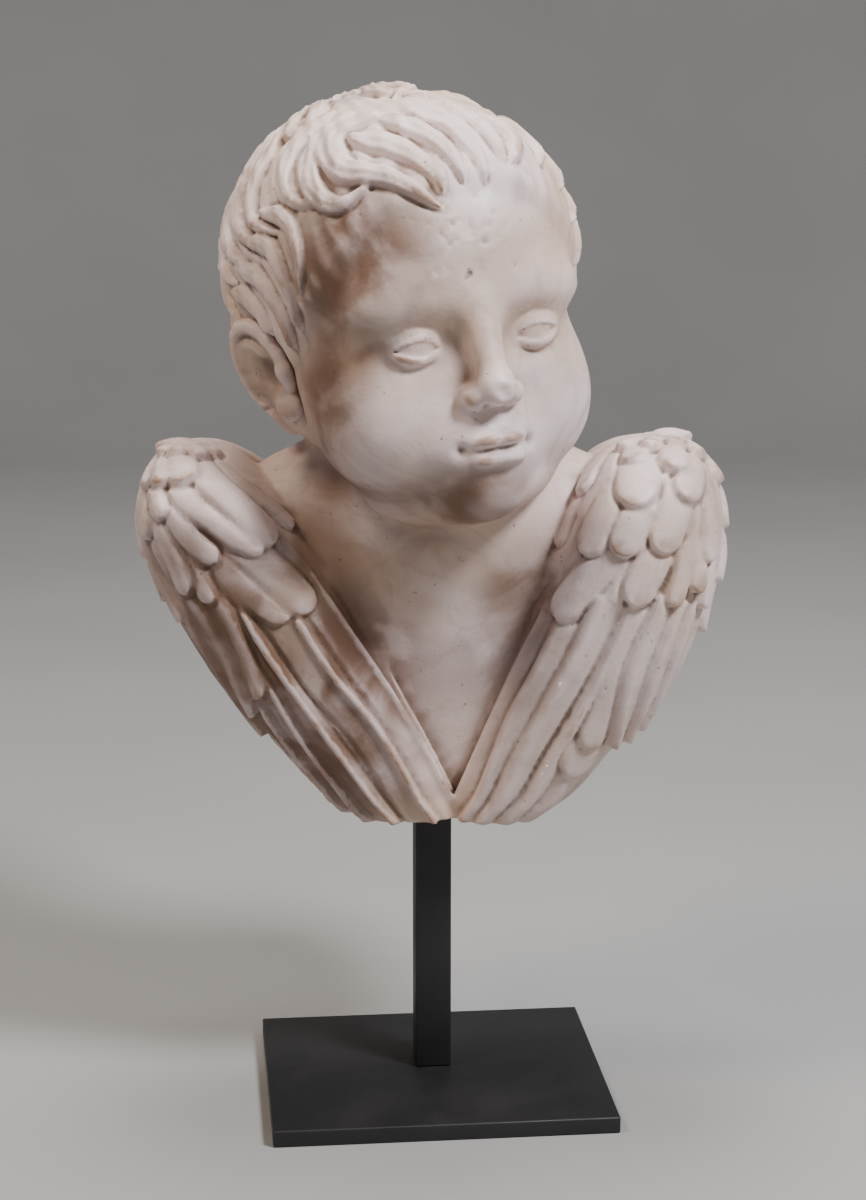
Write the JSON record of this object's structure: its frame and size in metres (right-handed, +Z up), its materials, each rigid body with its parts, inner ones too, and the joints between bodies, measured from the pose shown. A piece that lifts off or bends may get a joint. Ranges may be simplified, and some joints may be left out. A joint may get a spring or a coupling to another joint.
{
  "type": "winged putto bust on a stand",
  "caption": "Carved marble bust of a winged child with folded feathered wings, held up by a square post on a flat rectangular plate.",
  "frame": {"origin": "middle of the base plate's underside", "axes": "+Z up along the post, +X to the viewer's right when the child is seen from the front, the child faces -Y"},
  "size_m": [0.3217, 0.2254, 0.5614],
  "materials": {
    "marble": "aged carved white marble with a warm stain, softly polished",
    "black_paint": "matte black"
  },
  "bodies": {
    "root": {"marble_bust": "marble", "post": "black_paint", "base_plate": "black_paint"}
  },
  "joints": []
}
